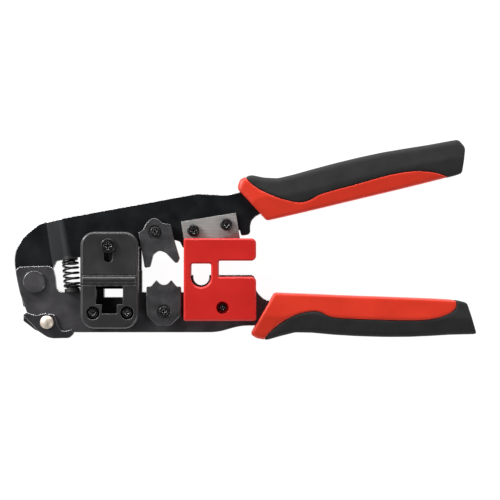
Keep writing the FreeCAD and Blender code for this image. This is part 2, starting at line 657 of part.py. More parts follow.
# ---------------------------------------------------------------- build
def build():
    """Every node's shape by name."""
    nodes = {}
    nodes["lower_arm"] = lower_arm()
    closed_arm = upper_arm()
    nodes["upper_arm"] = opened(closed_arm)
    nodes["pivot_rivet"], nodes["pivot_washer"] = pivot()
    nodes["return_spring"] = return_spring()
    nodes["spring_seat_lower"], nodes["spring_seat_upper"] = spring_seats()
    nodes["latch_lever"], nodes["latch_rivet"], nodes["latch_washer"] = latch()

    nodes["die_housing_front"], nodes["die_housing_back"] = die_housing()
    nodes["plug_nest"] = plug_nest()
    plunger, comb, bar, drive, nut = plunger_parts()
    nodes["crimp_plunger"] = plunger
    nodes["contact_teeth"] = comb
    nodes["strain_relief_bar"] = bar
    nodes["plunger_screw"] = drive
    nodes["plunger_nut"] = nut
    places = [(x, housing_screw_y) for x in housing_screw_x]
    seat = shell_top - housing_recess
    nodes["housing_screws"] = Part.makeCompound(
        [machine_screw(at, screw_head_r, seat, seat + 1.7, screw_r, 0.4) for at in places])
    nodes["housing_nuts"] = Part.makeCompound([hex_nut(at, nut_across, 0.4, 2.4, screw_r) for at in places])

    die_top = arm_front + die_thickness - 0.5
    nodes["upper_crimp_die"] = opened(upper_crimp_die())
    nodes["upper_die_screw"] = opened(
        machine_screw(upper_die_screw, screw_head_r, die_top, die_top + 1.5, screw_r, arm_back))
    nodes["lower_crimp_die"] = lower_crimp_die()
    nodes["lower_die_screw"] = machine_screw(
        lower_die_screw, screw_head_r, die_top, die_top + 1.5, screw_r, arm_back)

    nodes["cutter_blade"] = opened(cutter_blade())
    seat = blade_back + blade_thickness
    nodes["blade_screws"] = opened(Part.makeCompound(
        [machine_screw(at, blade_screw_head_r, seat, seat + 2.0, screw_r, arm_back)
         for at in blade_screw_at]))
    nodes["guard_front"], nodes["guard_back"] = guard()
    seat = shell_top - guard_recess
    tip = arm_back - guard_back_t + 0.2
    nodes["guard_screw"] = machine_screw(guard_screw, 1.9, seat, seat + 1.4, screw_r, tip)
    nodes["guard_nut"] = hex_nut(
        guard_screw, nut_across, arm_back - guard_back_t, arm_back - guard_back_t + guard_nut_t, screw_r)

    core, overlay = grip(upper_grip_outline, upper_parting, 60.0, closed_arm)
    nodes["upper_grip_core"] = opened(core)
    nodes["upper_grip_overlay"] = opened(overlay)
    core, overlay = grip(lower_grip_outline, lower_parting, -60.0, nodes["lower_arm"])
    nodes["lower_grip_core"] = core
    nodes["lower_grip_overlay"] = overlay
    return nodes


os.makedirs("parts", exist_ok=True)
for node_name, node_shape in build().items():
    save(node_name, node_shape)
    print(node_name, len(node_shape.Solids), round(node_shape.Volume, 1), node_shape.isValid())
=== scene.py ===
"""Finished pieces and materials of a modular-plug crimping tool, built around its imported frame."""

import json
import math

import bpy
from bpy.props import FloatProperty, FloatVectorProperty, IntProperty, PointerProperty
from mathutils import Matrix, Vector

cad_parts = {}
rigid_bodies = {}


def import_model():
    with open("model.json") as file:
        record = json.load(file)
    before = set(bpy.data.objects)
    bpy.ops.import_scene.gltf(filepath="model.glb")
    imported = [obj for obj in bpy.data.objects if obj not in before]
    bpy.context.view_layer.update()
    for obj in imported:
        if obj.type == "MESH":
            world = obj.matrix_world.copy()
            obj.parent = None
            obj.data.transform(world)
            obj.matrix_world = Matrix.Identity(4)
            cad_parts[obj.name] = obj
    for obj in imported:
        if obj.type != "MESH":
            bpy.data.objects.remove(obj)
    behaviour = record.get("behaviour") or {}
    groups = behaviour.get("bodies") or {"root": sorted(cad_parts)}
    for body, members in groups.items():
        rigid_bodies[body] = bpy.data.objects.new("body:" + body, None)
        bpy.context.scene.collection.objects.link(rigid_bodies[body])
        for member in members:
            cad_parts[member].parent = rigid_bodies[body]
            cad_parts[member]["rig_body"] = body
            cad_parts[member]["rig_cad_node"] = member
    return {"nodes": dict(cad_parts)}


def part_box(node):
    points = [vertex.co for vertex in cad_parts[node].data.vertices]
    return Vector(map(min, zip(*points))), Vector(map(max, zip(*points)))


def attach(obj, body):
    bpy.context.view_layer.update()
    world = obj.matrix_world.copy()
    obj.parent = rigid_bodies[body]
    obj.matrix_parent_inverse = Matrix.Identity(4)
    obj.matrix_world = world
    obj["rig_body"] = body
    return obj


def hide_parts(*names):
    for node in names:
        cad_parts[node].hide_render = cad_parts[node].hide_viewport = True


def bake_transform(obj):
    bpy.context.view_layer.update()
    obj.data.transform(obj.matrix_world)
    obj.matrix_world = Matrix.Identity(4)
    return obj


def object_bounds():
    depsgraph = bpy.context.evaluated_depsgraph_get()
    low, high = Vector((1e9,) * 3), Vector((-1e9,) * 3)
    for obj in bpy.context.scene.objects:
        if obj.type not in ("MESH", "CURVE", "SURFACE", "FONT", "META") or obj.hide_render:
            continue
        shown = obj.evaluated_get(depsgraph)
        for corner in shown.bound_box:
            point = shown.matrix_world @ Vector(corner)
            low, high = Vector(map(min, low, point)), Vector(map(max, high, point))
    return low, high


bl_info = {
    "name": "Crimping Tool",
    "version": (1, 0, 0),
    "blender": (4, 5, 0),
    "location": "View3D > Sidebar > Crimping Tool",
    "description": "Dresses the crimping tool's frame with finished pieces and materials",
    "category": "Object",
}

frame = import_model()

CAD_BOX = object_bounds()
NODES = frame["nodes"]
MM = 0.001
GRIP_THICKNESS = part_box("lower_grip_core")[1].z

# The lists of places are in millimetres and every other length is in metres. The upper grip is
# drawn closed on the lower one and opened by OPENING degrees.
OPENING = 9.0
SPRING_LOW = Vector((16.9, -3.1, 8.6)) * MM
SPRING_HIGH = Vector((15.7, 9.8, 6.4)) * MM
SPRING_CLEARANCE = 0.3 * MM         # both ends together
WIRE_SIDES = 14
STEPS_PER_TURN = 40
UPPER_INNER = [
    (107.3, 10.95), (109.4, 11.05), (112.5, 11.25), (117.5, 11.6), (124.0, 12.05), (132.0, 12.65),
    (140.0, 13.3), (150.0, 14.1), (160.0, 14.85), (170.0, 15.65), (180.0, 16.5), (188.0, 17.2),
    (192.8, 17.6), (196.6, 18.0)]
UPPER_OUTER = [
    (96.4, 27.3), (98.3, 31.1), (103.4, 32.3), (109.0, 30.2), (115.0, 28.9), (122.0, 29.4),
    (131.0, 30.45), (141.0, 31.5), (152.0, 32.4), (163.0, 33.0), (174.0, 33.1), (184.0, 33.1),
    (197.6, 33.4), (200.1, 29.4)]
UPPER_PARTING = [
    (100.2, 33.6), (101.0, 31.2), (103.4, 27.4), (107.8, 23.8), (113.2, 20.4), (119.0, 17.7),
    (123.2, 16.5), (127.3, 16.6), (131.0, 18.5), (137.0, 19.4), (152.0, 20.9), (166.0, 22.8),
    (176.0, 22.6), (184.5, 20.8), (192.6, 16.2), (204.0, 9.0)]
LOWER_INNER = [
    (107.6, -4.8), (109.5, -4.85), (112.5, -5.0), (117.0, -5.15), (122.5, -5.35), (129.0, -5.6),
    (137.0, -5.95), (146.0, -6.3), (157.0, -6.65), (168.0, -7.05), (178.0, -7.45), (185.0, -7.8),
    (190.0, -8.2), (193.6, -9.1)]
LOWER_OUTER = [
    (96.9, -23.3), (99.6, -25.1), (104.2, -25.95), (110.2, -24.2), (117.0, -22.5),
    (124.5, -22.65), (134.0, -23.55), (145.0, -24.2), (157.0, -24.55), (168.0, -24.5),
    (178.0, -24.05), (186.0, -23.55), (192.5, -23.4), (198.1, -23.25)]
LOWER_PARTING = [
    (101.0, -29.0), (102.4, -26.6), (104.3, -23.6), (107.8, -20.0), (112.4, -16.8),
    (116.4, -14.7), (120.2, -13.5), (124.9, -12.7), (128.6, -13.2), (131.0, -15.0),
    (135.0, -16.1), (150.0, -16.6), (173.0, -17.3), (181.5, -15.9), (187.4, -13.2),
    (189.4, -10.4), (187.4, -5.5), (186.0, -1.0)]

PARTING_MARGIN = 5 * MM             # how far the parting blocks stand out past both faces
PARTING_SWEEP = 0.06                # how far they reach outwards
GRIP_BEVEL = 5 * MM
CORE_ROUNDS, OVERLAY_ROUNDS = 7, 14     # rounds of smoothing after the remesh

# Angles in degrees. Edges sharper than SHARP_EDGE get a rim, and bends between SHALLOW_BEND and
# SHARP_EDGE are softened.
SHALLOW_BEND, SHARP_EDGE = 20, 34
BEND_LENGTH = 5 * MM                # the shortest bend that is softened
BEND_WIDTH = 2.2 * MM
MERGE_DISTANCE = 0.002 * MM
FLAT_ANGLE = 0.5
SMOOTH_EDGED, SMOOTH_WIRE = 24, 50

SAME_PLACE = 1e-6
LIFT = 50 * MM                      # where an extruded section waits before its points are moved

VIEW_MIDDLE = Vector((0.09675, 0.0144, GRIP_THICKNESS / 2))
VIEW_WIDTH = 0.225
VIEW_DISTANCE = 0.65
FLOOR_SIZE = 6
FLOOR_GAP = 0.2 * MM
FLOOR_GLOW = 0.96                   # the floor's own light, which keeps it white


# ---------------------------------------------------------------- settings
class CrimperSizes(bpy.types.PropertyGroup):
    """Sizes of the edges and of the pieces that are modelled here."""

    plate_edge: FloatProperty(
        name="Plate edge", description="Rounding of the stamped levers' edges",
        default=0.35 * MM, unit="LENGTH")
    die_edge: FloatProperty(
        name="Die edge", description="Rounding of the dies' edges", default=0.3 * MM, unit="LENGTH")
    shell_edge: FloatProperty(
        name="Shell edge", description="Rounding of the housing's sharp edges",
        default=0.22 * MM, unit="LENGTH")
    guard_edge: FloatProperty(
        name="Guard edge", description="Rounding of the moulded guard's edges",
        default=0.42 * MM, unit="LENGTH")
    screw_edge: FloatProperty(
        name="Screw edge", description="Rounding of the screws' edges", default=0.1 * MM, unit="LENGTH")
    grip_mesh: FloatProperty(
        name="Grip mesh", description="Spacing of the grips' surface mesh", default=0.42 * MM,
        unit="LENGTH")
    grip_crown: FloatProperty(
        name="Grip crown", description="How far the grips' edges lie below their middle line",
        default=1.5 * MM, unit="LENGTH")
    spring_turns: IntProperty(
        name="Spring turns", description="Open turns of the return spring", default=4)
    spring_wire: FloatProperty(
        name="Spring wire", description="Thickness of the return spring's wire",
        default=1.1 * MM, unit="LENGTH")
    spring_width: FloatProperty(
        name="Spring width", description="Outside width of the return spring", default=7.7 * MM,
        unit="LENGTH")


class CrimperColours(bpy.types.PropertyGroup):
    """Colours of the finishes."""

    arm_black: FloatVectorProperty(
        name="Lever", description="Black oxide on the levers", subtype="COLOR",
        default=(0.010, 0.0115, 0.0135))
    arm_grey: FloatVectorProperty(
        name="Fixed lever", description="Greyer oxide on the fixed lever", subtype="COLOR",
        default=(0.082, 0.078, 0.085))
    die_grey: FloatVectorProperty(
        name="Dies", description="Dark ground steel of the dies", subtype="COLOR",
        default=(0.18, 0.176, 0.184))
    housing_black: FloatVectorProperty(
        name="Housing", description="Coating of the housing", subtype="COLOR",
        default=(0.033, 0.033, 0.034))
    guard_red: FloatVectorProperty(
        name="Guard", description="Moulded red of the guard", subtype="COLOR",
        default=(0.72, 0.024, 0.019))
    grip_red: FloatVectorProperty(
        name="Grip core", description="Orange red of the hard grip core", subtype="COLOR",
        default=(0.77, 0.040, 0.016))
    # Rim colour, much lighter than the dark pieces: partly worn metal and partly a painted highlight
    # line along their edges.
    rim_highlight_grey: FloatVectorProperty(
        name="Rims", description="Bared metal along the edges of the dark pieces", subtype="COLOR",
        default=(0.24, 0.235, 0.235))
    grip_black: FloatVectorProperty(
        name="Grip overlay", description="Soft black of the grip overlay", subtype="COLOR",
        default=(0.021, 0.0207, 0.0207))


# ---------------------------------------------------------------- material helpers
class Finish:
    """A new node material with its shader, and short calls for the nodes that finishes share."""

    def __init__(self, name, metallic=0.0, roughness=0.5):
        self.material = bpy.data.materials.new(name)
        self.material.use_nodes = True
        self.nodes = self.material.node_tree.nodes
        self.links = self.material.node_tree.links
        self.shader = self.nodes["Principled BSDF"]
        self.shader.inputs["Metallic"].default_value = metallic
        self.shader.inputs["Roughness"].default_value = roughness
        self.place = self.nodes.new("ShaderNodeTexCoord").outputs["Object"]

    def mapped(self, scale=(1, 1, 1), turn=(0, 0, 0)):
        """Object coordinates, stretched and turned."""
        mapping = self.nodes.new("ShaderNodeMapping")
        mapping.inputs["Scale"].default_value = scale
        mapping.inputs["Rotation"].default_value = turn
        self.links.new(self.place, mapping.inputs["Vector"])
        return mapping.outputs["Vector"]

    def noise(self, size, detail=3.0, rough=0.5, place=None):
        """Noise whose features are about `size` metres across."""
        node = self.nodes.new("ShaderNodeTexNoise")
        node.inputs["Scale"].default_value = 1 / size
        node.inputs["Detail"].default_value = detail
        node.inputs["Roughness"].default_value = rough
        self.links.new(place or self.place, node.inputs["Vector"])
        return node.outputs["Fac"]

    def cells(self, size):
        """Voronoi distance whose cells are about `size` metres across."""
        node = self.nodes.new("ShaderNodeTexVoronoi")
        node.inputs["Scale"].default_value = 1 / size
        self.links.new(self.place, node.inputs["Vector"])
        return node.outputs["Distance"]

    def span(self, value, low, high, to_low, to_high):
        """Value taken from one range to another."""
        node = self.nodes.new("ShaderNodeMapRange")
        for socket, number in zip(("From Min", "From Max", "To Min", "To Max"),
                                  (low, high, to_low, to_high)):
            node.inputs[socket].default_value = number
        self.links.new(value, node.inputs["Value"])
        return node.outputs["Result"]

    def colours(self, value, stops):
        """Colour ramp of (place, colour) stops."""
        node = self.nodes.new("ShaderNodeValToRGB")
        ramp = node.color_ramp
        while len(ramp.elements) < len(stops):
            ramp.elements.new(0.5)
        for element, (at, colour) in zip(ramp.elements, stops):
            element.position = at
            element.color = (*colour, 1)
        self.links.new(value, node.inputs["Fac"])
        return node.outputs["Color"]

    def add(self, first, second, share=1.0):
        """First plus a share of second."""
        node = self.nodes.new("ShaderNodeMath")
        node.operation = "MULTIPLY_ADD"
        node.inputs[1].default_value = share
        self.links.new(second, node.inputs[0])
        self.links.new(first, node.inputs[2])
        return node.outputs["Value"]

    def bump(self, height, depth, strength=1.0):
        """Bump whose full height is `depth` metres."""
        node = self.nodes.new("ShaderNodeBump")
        node.inputs["Strength"].default_value = strength
        node.inputs["Distance"].default_value = depth
        self.links.new(height, node.inputs["Height"])
        self.links.new(node.outputs["Normal"], self.shader.inputs["Normal"])

    def drive(self, socket, value):
        """Feed a shader socket."""
        self.links.new(value, self.shader.inputs[socket])

    def set(self, **values):
        """Set the shader's own sockets, spaces written as underscores."""
        for name, value in values.items():
            self.shader.inputs[name.replace("_", " ")].default_value = value


def shade(colour, factor):
    """Colour made lighter or darker."""
    return tuple(min(1.0, channel * factor) for channel in colour[:3])


# ---------------------------------------------------------------- finishes
def black_oxide(name, colour, lift=1.0):
    """Blued steel: dark, mottled, with a fine rolled grain."""
    finish = Finish(name, metallic=0.35, roughness=0.38)
    mottle = finish.noise(9 * MM, detail=5)
    grain = finish.noise(0.35 * MM, detail=2, place=finish.mapped(scale=(0.25, 1, 1)))
    finish.drive("Base Color", finish.colours(mottle, [
        (0.30, shade(colour, 0.75 * lift)), (0.55, shade(colour, 1.1 * lift)),
        (0.75, shade(colour, 1.5 * lift))]))
    finish.drive("Roughness", finish.span(finish.add(mottle, grain, 0.35), 0.4, 0.95, 0.30, 0.48))
    finish.bump(grain, 0.012 * MM, 0.5)
    return finish.material


def coated_casting(name, colour):
    """Satin black coating with a faint orange peel."""
    finish = Finish(name, metallic=0.0, roughness=0.34)
    peel = finish.noise(0.8 * MM, detail=2)
    cloud = finish.noise(14 * MM, detail=3)
    finish.drive("Base Color", finish.colours(cloud, [
        (0.3, shade(colour, 0.85)), (0.7, shade(colour, 1.35))]))
    finish.drive("Roughness", finish.span(cloud, 0.3, 0.7, 0.30, 0.42))
    finish.set(Coat_Weight=0.25, Coat_Roughness=0.2)
    finish.bump(peel, 0.02 * MM, 0.35)
    return finish.material


def tool_steel(name, colour, roughness=0.36, grain_turn=0.0):
    """Hardened steel with a ground grain."""
    finish = Finish(name, metallic=0.9, roughness=roughness)
    place = finish.mapped(scale=(0.06, 1, 1), turn=(0, 0, grain_turn))
    grain = finish.noise(0.16 * MM, detail=3, place=place)
    cloud = finish.noise(6 * MM, detail=4)
    both = finish.add(cloud, grain, 0.5)
    finish.drive("Base Color", finish.colours(both, [
        (0.45, shade(colour, 0.8)), (1.0, shade(colour, 1.2))]))
    finish.drive("Roughness", finish.span(both, 0.45, 1.0, roughness - 0.07, roughness + 0.08))
    finish.bump(grain, 0.01 * MM, 0.6)
    return finish.material


def bright_blade(name):
    """Light ground steel with fine straight scratches."""
    finish = Finish(name, metallic=0.55, roughness=0.42)
    place = finish.mapped(scale=(0.03, 1, 1), turn=(0, 0, math.radians(-9)))
    scratches = finish.noise(0.22 * MM, detail=4, rough=0.65, place=place)
    finish.drive("Base Color", finish.colours(scratches, [
        (0.35, (0.50, 0.485, 0.465)), (0.65, (0.70, 0.685, 0.665))]))
    finish.drive("Roughness", finish.span(scratches, 0.3, 0.7, 0.36, 0.5))
    finish.bump(scratches, 0.008 * MM, 0.5)
    return finish.material


def plated(name, colour, roughness, metallic=1.0):
    """Plated small part with faint stains."""
    finish = Finish(name, metallic=metallic, roughness=roughness)
    stain = finish.noise(1.6 * MM, detail=4)
    finish.drive("Base Color", finish.colours(stain, [
        (0.35, shade(colour, 0.8)), (0.65, colour)]))
    finish.drive("Roughness", finish.span(stain, 0.3, 0.7, roughness - 0.06, roughness + 0.1))
    finish.bump(finish.noise(0.25 * MM), 0.006 * MM, 0.5)
    return finish.material


def rim_wear_and_highlight(name, colour, metallic=0.75, roughness=0.32):
    """Edge finish, lighter and shinier than the piece: partly worn metal, lighter in broken stretches,
    and partly a painted highlight line along the edges.
    """
    finish = Finish(name, metallic=metallic, roughness=roughness)
    wear = finish.noise(2.2 * MM, detail=4, rough=0.6)
    finish.drive("Base Color", finish.colours(wear, [
        (0.35, shade(colour, 0.55)), (0.65, shade(colour, 1.3))]))
    finish.drive("Roughness", finish.span(wear, 0.3, 0.7, roughness + 0.08, roughness - 0.06))
    finish.bump(finish.noise(0.3 * MM), 0.006 * MM, 0.5)
    return finish.material


def black_zinc(name):
    """Shiny black screws."""
    finish = Finish(name, metallic=0.6, roughness=0.22)
    stain = finish.noise(1.2 * MM, detail=3)
    finish.drive("Base Color", finish.colours(stain, [
        (0.3, (0.018, 0.018, 0.019)), (0.7, (0.045, 0.045, 0.045))]))
    finish.drive("Roughness", finish.span(stain, 0.3, 0.7, 0.18, 0.34))
    finish.bump(stain, 0.01 * MM, 0.4)
    return finish.material


def moulded(name, colour, roughness, texture, depth):
    """Moulded plastic with a fine spark texture and slight flow marks."""
    finish = Finish(name, roughness=roughness)
    flow = finish.noise(18 * MM, detail=3)
    spark = finish.noise(texture, detail=3, rough=0.6)
    finish.drive("Base Color", finish.colours(flow, [
        (0.3, shade(colour, 0.9)), (0.7, shade(colour, 1.08))]))
    finish.drive("Roughness", finish.span(finish.add(flow, spark, 0.5), 0.4, 1.0,
                                          roughness - 0.05, roughness + 0.07))
    finish.set(Specular_IOR_Level=0.42)
    finish.bump(spark, depth, 0.6)
    return finish.material


def soft_rubber(name, colour):
    """Matt thermoplastic rubber with a leathery grain."""
    finish = Finish(name, roughness=0.75)
    cells = finish.cells(0.7 * MM)
    dust = finish.noise(7 * MM, detail=5)
    finish.drive("Base Color", finish.colours(dust, [
        (0.3, shade(colour, 0.85)), (0.72, shade(colour, 1.35))]))
    finish.drive("Roughness", finish.span(dust, 0.3, 0.7, 0.68, 0.82))
    finish.set(Specular_IOR_Level=0.3)
    finish.bump(cells, 0.06 * MM, 0.5)
    return finish.material


# ---------------------------------------------------------------- modelling helpers
def select_only(piece):
    """Select one object and make it active."""
    bpy.ops.object.select_all(action="DESELECT")
    piece.select_set(True)
    bpy.context.view_layer.objects.active = piece


def apply_modifier(piece, kind, **values):
    """Add a modifier and apply it."""
    select_only(piece)
    modifier = piece.modifiers.new(kind.title(), kind)
    for name, value in values.items():
        setattr(modifier, name, value)
    bpy.ops.object.modifier_apply(modifier=modifier.name)


def smooth(piece, degrees):
    """Smooth shading up to an angle."""
    select_only(piece)
    bpy.ops.object.shade_smooth_by_angle(angle=math.radians(degrees))


def dress(piece, *materials):
    """Give a piece its materials."""
    piece.data.materials.clear()
    for material in materials:
        piece.data.materials.append(material)


def finish_piece(piece, body, slot, *replaced):
    """Attach a piece to its body and hide the CAD nodes that it stands for. The slot is not used."""
    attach(piece, body)
    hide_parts(*replaced)


def soften_bends(piece, width):
    """Round a piece's long shallow bends, such as those of a pressed plate."""
    sides = {}
    for face in piece.data.polygons:
        for key in face.edge_keys:
            sides.setdefault(key, []).append(face.normal)
    weights = piece.data.attributes.new("bevel_weight_edge", "FLOAT", "EDGE").data
    for edge, weight in zip(piece.data.edges, weights):
        first, second = (piece.data.vertices[index].co for index in edge.vertices)
        normals = sides[edge.key]
        bend = math.degrees(normals[0].angle(normals[-1]))
        long_enough = (second - first).length > BEND_LENGTH
        weight.value = 1.0 if SHALLOW_BEND < bend < SHARP_EDGE and long_enough else 0.0
    apply_modifier(piece, "BEVEL", width=width, segments=6, limit_method="WEIGHT",
                   use_clamp_overlap=False)
    piece.data.attributes.remove(piece.data.attributes["bevel_weight_edge"])


def edged_copy(node, name, material, rim, slot, width, clamp=False):
    """Merged copy of a CAD node with its sharp edges rounded in a rim finish, standing for that node."""
    source = NODES[node]
    body = source["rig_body"]
    select_only(source)
    bpy.ops.object.duplicate()
    piece = bpy.context.active_object
    piece.name = name
    piece.data.name = name
    piece.parent = None
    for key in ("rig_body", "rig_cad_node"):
        del piece[key]
    select_only(piece)
    bpy.ops.mesh.customdata_custom_splitnormals_clear()
    bpy.ops.object.mode_set(mode="EDIT")
    bpy.ops.mesh.select_all(action="SELECT")
    bpy.ops.mesh.remove_doubles(threshold=MERGE_DISTANCE)
    bpy.ops.mesh.dissolve_limited(angle_limit=math.radians(FLAT_ANGLE))
    bpy.ops.object.mode_set(mode="OBJECT")
    dress(piece, material, rim)
    soften_bends(piece, BEND_WIDTH)
    apply_modifier(piece, "BEVEL", width=width, segments=4, limit_method="ANGLE",
                   angle_limit=math.radians(SHARP_EDGE), use_clamp_overlap=clamp,
                   miter_outer="MITER_ARC", material=1)
    smooth(piece, SMOOTH_EDGED)
    apply_modifier(piece, "WEIGHTED_NORMAL", weight=100, keep_sharp=True)
    finish_piece(piece, body, slot, node)


def pick_vertices(piece, test):
    """Select the vertices whose place passes a test, in edit mode."""
    bpy.ops.object.mode_set(mode="OBJECT")
    for part in (piece.data.polygons, piece.data.edges, piece.data.vertices):
        part.foreach_set("select", [False] * len(part))
    for vertex in piece.data.vertices:
        vertex.select = test(vertex.co)
    bpy.ops.object.mode_set(mode="EDIT")
    bpy.ops.mesh.select_mode(type="VERT")


def near(first, second):
    """Same place to a thousandth of a millimetre."""
    return (first - second).length < SAME_PLACE


def add_section(points):
    """Flat face through the given points, as the start of a piece that is then extruded."""
    bpy.ops.object.select_all(action="DESELECT")
    bpy.ops.mesh.primitive_circle_add(vertices=len(points), radius=MM, fill_type="NGON")
    piece = bpy.context.active_object
    bpy.ops.object.mode_set(mode="EDIT")
    for at, point in zip([vertex.co.copy() for vertex in piece.data.vertices], points):
        pick_vertices(piece, lambda place: near(place, at))
        bpy.ops.transform.translate(value=point - at)
    bpy.ops.object.mode_set(mode="OBJECT")
    return piece


def extrude_to(piece, section, following):
    """Extrude the face on one section and carry each of its points to the following section."""
    pick_vertices(piece, lambda place: any(near(place, point) for point in section))
    bpy.ops.mesh.extrude_region_move(TRANSFORM_OT_translate={"value": (0, 0, LIFT)})
    for start, end in zip(section, following):
        lifted = start + Vector((0, 0, LIFT))
        pick_vertices(piece, lambda place: near(place, lifted))
        bpy.ops.transform.translate(value=end - lifted)
    bpy.ops.object.mode_set(mode="OBJECT")


def copy_piece(piece, name):
    """Copy with its own mesh."""
    select_only(piece)
    bpy.ops.object.duplicate()
    copied = bpy.context.active_object
    copied.name = name
    copied.data.name = name
    return copied


def remove_piece(piece):
    """Delete a helper object."""
    select_only(piece)
    bpy.ops.object.delete()


# ---------------------------------------------------------------- pieces
class CRIMPER_OT_levers(bpy.types.Operator):
    """The two stamped levers"""

    bl_idname = "crimper.levers"
    bl_label = "Levers"

    def execute(self, context):
        sizes, colours = context.scene.crimper_sizes, context.scene.crimper_colours
        lower = black_oxide("lower_lever_oxide", colours.arm_grey)
        upper = black_oxide("upper_lever_oxide", colours.arm_black)
        # The levers' rim is 1.6 times the rim grey: a painted highlight line along their edges.
        rim = rim_wear_and_highlight("lever_rim", shade(colours.rim_highlight_grey, 1.6), metallic=0.9, roughness=0.24)
        edged_copy("lower_arm", "lower_lever", lower, rim, "arm_black", sizes.plate_edge)
        edged_copy("upper_arm", "upper_lever_plate", upper, rim, "arm_black", sizes.plate_edge)
        return {"FINISHED"}


class CRIMPER_OT_pivot(bpy.types.Operator):
    """The pivot rivet and its washer"""

    bl_idname = "crimper.pivot"
    bl_label = "Pivot"

    def execute(self, context):
        sizes, colours = context.scene.crimper_sizes, context.scene.crimper_colours
        oxide = black_oxide("rivet_oxide", colours.arm_grey, 1.25)
        rim = rim_wear_and_highlight("rivet_rim", shade(colours.rim_highlight_grey, 0.5))
        edged_copy("pivot_rivet", "pivot_rivet_head", oxide, rim, "arm_black", sizes.die_edge)
        NODES["pivot_washer"].data.materials[0] = plated("washer_plate", (0.5, 0.48, 0.44), 0.3)
        return {"FINISHED"}


class CRIMPER_OT_latch(bpy.types.Operator):
    """The folded latch, its rivet and washer"""

    bl_idname = "crimper.latch"
    bl_label = "Latch"

    def execute(self, context):
        sizes, colours = context.scene.crimper_sizes, context.scene.crimper_colours
        oxide = black_oxide("latch_oxide", colours.arm_grey, 0.55)
        # The latch's rim is 1.8 times the rim grey: a painted highlight line along its edges.
        rim = rim_wear_and_highlight("latch_rim", shade(colours.rim_highlight_grey, 1.8), metallic=0.9, roughness=0.24)
        edged_copy("latch_lever", "thumb_latch", oxide, rim, "arm_black", sizes.die_edge)
        nickel = plated("rivet_nickel", (0.92, 0.80, 0.67), 0.4, metallic=0.35)
        for node in ("latch_rivet", "latch_washer"):
            NODES[node].data.materials[0] = nickel
        return {"FINISHED"}


class CRIMPER_OT_housing(bpy.types.Operator):
    """The plug crimper's shells, nest and plunger"""

    bl_idname = "crimper.housing"
    bl_label = "Plug crimper"

    def execute(self, context):
        sizes, colours = context.scene.crimper_sizes, context.scene.crimper_colours
        coat = coated_casting("housing_coat", colours.housing_black)
        # The housing's rim is about three times lighter than its coating: a painted highlight along its
        # sharp edges.
        rim = rim_wear_and_highlight("housing_rim", shade(colours.rim_highlight_grey, 0.45), metallic=0.2)
        for node, name in (("die_housing_front", "housing_shell_front"),
                           ("die_housing_back", "housing_shell_back")):
            edged_copy(node, name, coat, rim, "housing_black", sizes.shell_edge)
        nylon = moulded("nest_nylon", (0.02, 0.02, 0.02), 0.5, 0.3 * MM, 0.02 * MM)
        for node in ("plug_nest", "strain_relief_bar", "spring_seat_lower", "spring_seat_upper"):
            NODES[node].data.materials[0] = nylon
        NODES["crimp_plunger"].data.materials[0] = tool_steel("plunger_steel", (0.10, 0.10, 0.105))
        NODES["contact_teeth"].data.materials[0] = tool_steel("teeth_steel", (0.35, 0.34, 0.32))
        return {"FINISHED"}


class CRIMPER_OT_dies(bpy.types.Operator):
    """The two terminal dies"""

    bl_idname = "crimper.dies"
    bl_label = "Terminal dies"

    def execute(self, context):
        sizes, colours = context.scene.crimper_sizes, context.scene.crimper_colours
        steel = tool_steel("die_steel", colours.die_grey, 0.4, math.radians(80))
        rim = rim_wear_and_highlight("die_rim", shade(colours.rim_highlight_grey, 0.8))
        for node in ("upper_crimp_die", "lower_crimp_die"):
            edged_copy(node, node + "_piece", steel, rim, "die_steel", sizes.die_edge)
        return {"FINISHED"}


class CRIMPER_OT_cutter(bpy.types.Operator):
    """The blade and the two halves of its guard"""

    bl_idname = "crimper.cutter"
    bl_label = "Cutter and guard"

    def execute(self, context):
        sizes, colours = context.scene.crimper_sizes, context.scene.crimper_colours
        steel = bright_blade("blade_steel")
        rim = rim_wear_and_highlight("blade_rim", (0.75, 0.73, 0.70))
        edged_copy("cutter_blade", "cutting_blade", steel, rim, "blade_steel", sizes.screw_edge)
        red = moulded("guard_red", colours.guard_red, 0.36, 0.5 * MM, 0.012 * MM)
        rim = rim_wear_and_highlight("guard_rim", colours.guard_red, metallic=0.0, roughness=0.3)
        for node, name in (("guard_front", "guard_shell_front"), ("guard_back", "guard_shell_back")):
            edged_copy(node, name, red, rim, "guard_red", sizes.guard_edge, clamp=True)
        return {"FINISHED"}


class CRIMPER_OT_screws(bpy.types.Operator):
    """Every screw and nut"""

    bl_idname = "crimper.screws"
    bl_label = "Screws and nuts"

    def execute(self, context):
        sizes, colours = context.scene.crimper_sizes, context.scene.crimper_colours
        zinc = black_zinc("screw_zinc")
        # The screws' rim is 2.2 times the rim grey: painted glints along the heads' edges and cross
        # recesses.
        rim = rim_wear_and_highlight("screw_rim", shade(colours.rim_highlight_grey, 2.2), roughness=0.2)
        for node in ("housing_screws", "upper_die_screw", "lower_die_screw", "blade_screws",
                     "guard_screw", "plunger_screw"):
            edged_copy(node, node + "_piece", zinc, rim, "screw_black", sizes.screw_edge)
        for node in ("housing_nuts", "guard_nut", "plunger_nut"):
            NODES[node].data.materials[0] = zinc
        return {"FINISHED"}


